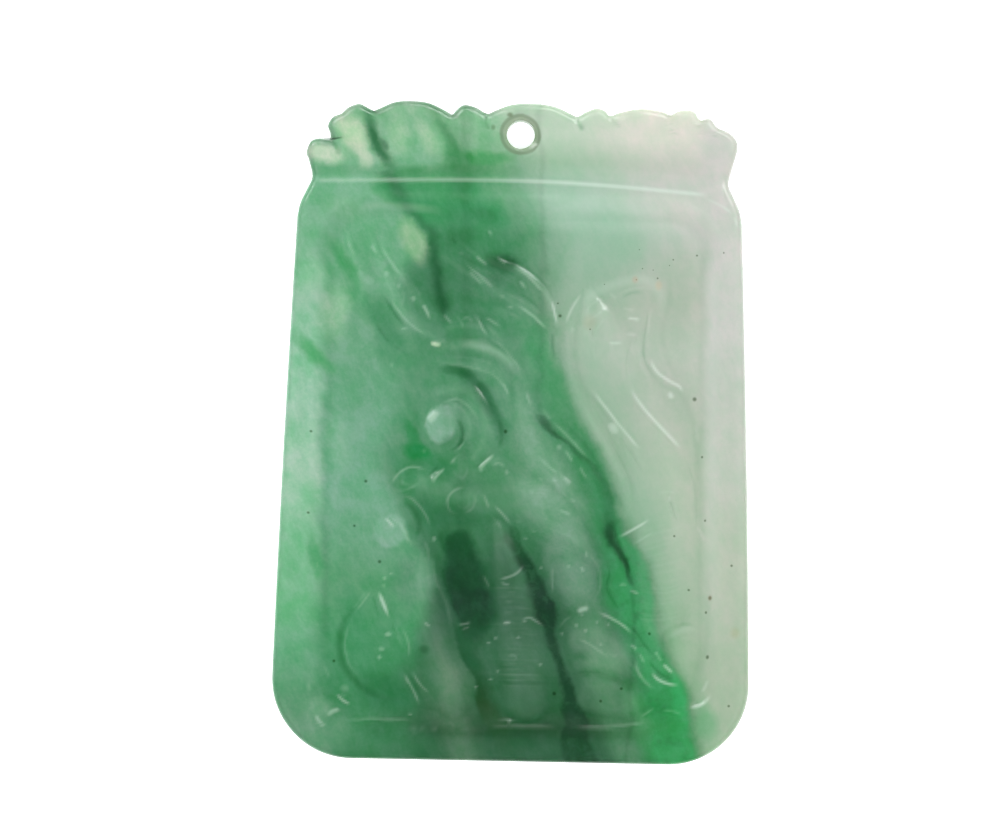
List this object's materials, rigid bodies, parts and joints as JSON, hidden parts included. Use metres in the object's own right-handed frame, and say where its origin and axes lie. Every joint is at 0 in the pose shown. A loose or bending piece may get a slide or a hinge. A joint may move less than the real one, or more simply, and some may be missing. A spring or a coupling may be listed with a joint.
{
  "type": "jade plaque",
  "caption": "Flat carved jade tablet with a scalloped crest, a cord hole through it, a raised border and a dragon in low relief in its sunk panel.",
  "frame": {"origin": "middle of the outline, on the flat back that the plaque lies on", "axes": "+Z is the way the carved front faces, +Y runs up the plaque to its crest, +X is to the right as the front is seen"},
  "size_m": [0.0404, 0.0558, 0.005],
  "materials": {
    "jade": "polished"
  },
  "bodies": {
    "root": {"plaque": "jade"}
  },
  "joints": []
}
